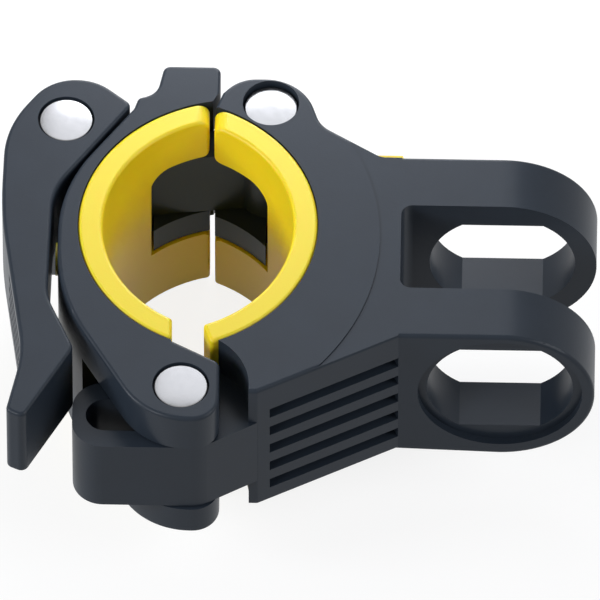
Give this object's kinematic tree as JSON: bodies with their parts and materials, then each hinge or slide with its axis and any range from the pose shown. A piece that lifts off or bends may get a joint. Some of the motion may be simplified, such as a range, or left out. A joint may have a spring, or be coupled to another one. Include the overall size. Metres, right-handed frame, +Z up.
{
  "type": "mudguard mount",
  "caption": "Quick-release bicycle post clamp with hinged jaw, over-centre lever, soft lining pads and a two-ear clevis that carries a mudguard arm.",
  "frame": {"origin": "on the post axis, level with the clamp body's underside", "axes": "+Z up along the post, +X towards the clevis, +Y away from the hinge rivet"},
  "size_m": [0.0775, 0.0584, 0.0332],
  "materials": {
    "black_nylon": "fine moulded grain",
    "yellow_pad": "soft moulded, satin",
    "rivet_steel": "satin plated"
  },
  "bodies": {
    "clamp": {"main_body": "black_nylon", "body_pad": "yellow_pad", "link_rivet": "rivet_steel"},
    "jaw": {"swing_jaw": "black_nylon", "jaw_pad": "yellow_pad", "hinge_rivet": "rivet_steel"},
    "link": {"toggle_link": "black_nylon"},
    "lever": {"lever": "black_nylon", "lever_rivet": "rivet_steel"}
  },
  "joints": [
    {"name": "link_swing", "type": "hinge", "parent": "clamp", "child": "link", "pos_m": [0.00905, 0.0203, 0.012], "axis": [0, 0, -1], "range_deg": [0, 120]},
    {"name": "lever_pivot", "type": "hinge", "parent": "link", "child": "lever", "pos_m": [-0.0176, 0.0171, 0.012], "axis": [0, 0, -1], "range_deg": [0, 60]},
    {"name": "jaw_hinge", "type": "hinge", "parent": "clamp", "child": "jaw", "pos_m": [-0.0016, -0.0265, 0.012], "axis": [0, 0, 1], "range_deg": [0, 14.4]}
  ],
  "couplings": [
    {"joint": "lever_pivot", "follows": "link_swing", "ratio": 0.5},
    {"joint": "jaw_hinge", "follows": "link_swing", "ratio": 0.12}
  ]
}
